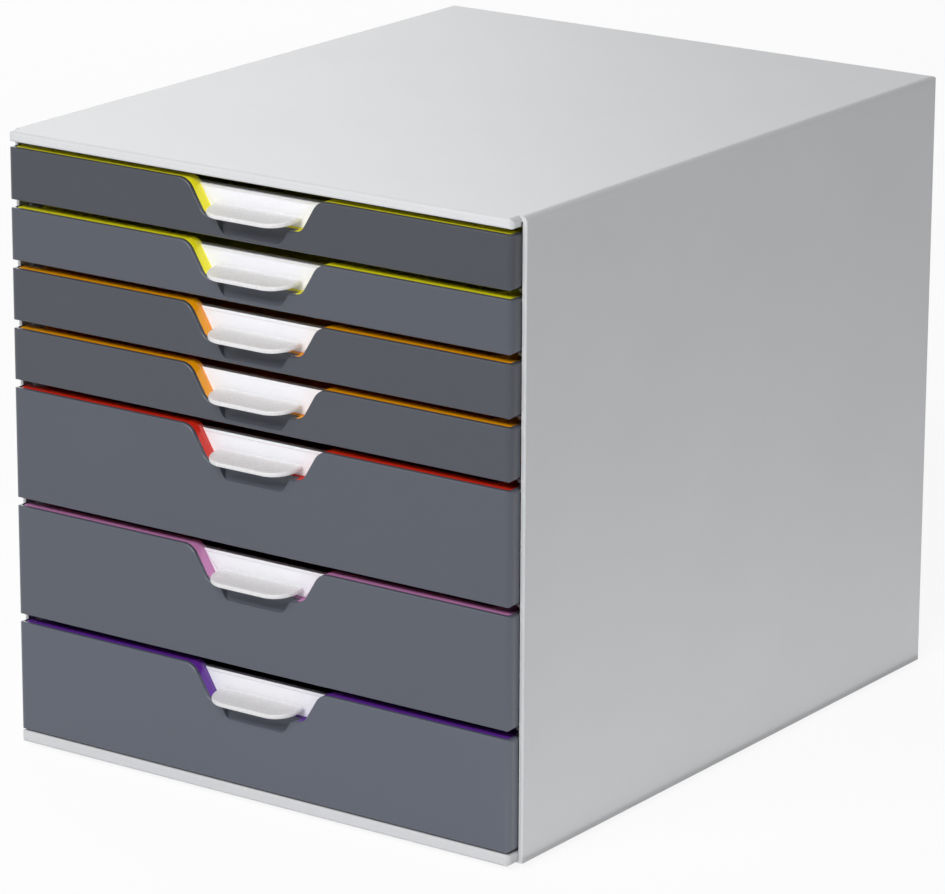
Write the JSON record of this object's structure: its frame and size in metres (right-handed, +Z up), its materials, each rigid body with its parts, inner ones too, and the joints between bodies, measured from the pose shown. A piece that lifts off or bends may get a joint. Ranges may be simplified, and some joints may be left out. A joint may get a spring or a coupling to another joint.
{
  "type": "plastic drawer tower",
  "caption": "Closed desktop drawer box: a light grey casing with dark fronts, bright trays on side runners, and a clear label window with a finger grip on each drawer.",
  "frame": {"origin": "middle of the tower's box in plan, grips included, on the surface that its feet stand on", "axes": "+Z up, drawer fronts and grips face -Y, +Y to the back, +X to the right seen from the front"},
  "size_m": [0.28, 0.356, 0.292],
  "materials": {
    "casing": "satin, moulded polystyrene",
    "front": "satin, moulded polystyrene",
    "tray_yellow": "semi-gloss, moulded polystyrene",
    "tray_orange": "semi-gloss, moulded polystyrene",
    "tray_red": "semi-gloss, moulded polystyrene",
    "tray_orchid": "semi-gloss, moulded polystyrene",
    "tray_purple": "semi-gloss, moulded polystyrene",
    "grip": "clear window with a lightly frosted grip",
    "card": "uncoated white card",
    "feet": "matt"
  },
  "bodies": {
    "casing": {"casing_shell": "casing", "back_panel": "casing", "base_plate": "casing", "feet": "feet"},
    "drawer_1": {"tray_1": "tray_yellow", "front_panel_1": "front", "label_grip_1": "grip", "label_card_1": "card"},
    "drawer_2": {"tray_2": "tray_yellow", "front_panel_2": "front", "label_grip_2": "grip", "label_card_2": "card"},
    "drawer_3": {"tray_3": "tray_orange", "front_panel_3": "front", "label_grip_3": "grip", "label_card_3": "card"},
    "drawer_4": {"tray_4": "tray_orange", "front_panel_4": "front", "label_grip_4": "grip", "label_card_4": "card"},
    "drawer_5": {"tray_5": "tray_red", "front_panel_5": "front", "label_grip_5": "grip", "label_card_5": "card"},
    "drawer_6": {"tray_6": "tray_orchid", "front_panel_6": "front", "label_grip_6": "grip", "label_card_6": "card"},
    "drawer_7": {"tray_7": "tray_purple", "front_panel_7": "front", "label_grip_7": "grip", "label_card_7": "card"}
  },
  "joints": [
    {"name": "drawer_1_slide", "type": "slide", "parent": "casing", "child": "drawer_1", "axis": [0, -1, 0], "range_m": [0, 0.245]},
    {"name": "drawer_2_slide", "type": "slide", "parent": "casing", "child": "drawer_2", "axis": [0, -1, 0], "range_m": [0, 0.245]},
    {"name": "drawer_3_slide", "type": "slide", "parent": "casing", "child": "drawer_3", "axis": [0, -1, 0], "range_m": [0, 0.245]},
    {"name": "drawer_4_slide", "type": "slide", "parent": "casing", "child": "drawer_4", "axis": [0, -1, 0], "range_m": [0, 0.245]},
    {"name": "drawer_5_slide", "type": "slide", "parent": "casing", "child": "drawer_5", "axis": [0, -1, 0], "range_m": [0, 0.245]},
    {"name": "drawer_6_slide", "type": "slide", "parent": "casing", "child": "drawer_6", "axis": [0, -1, 0], "range_m": [0, 0.245]},
    {"name": "drawer_7_slide", "type": "slide", "parent": "casing", "child": "drawer_7", "axis": [0, -1, 0], "range_m": [0, 0.245]}
  ]
}
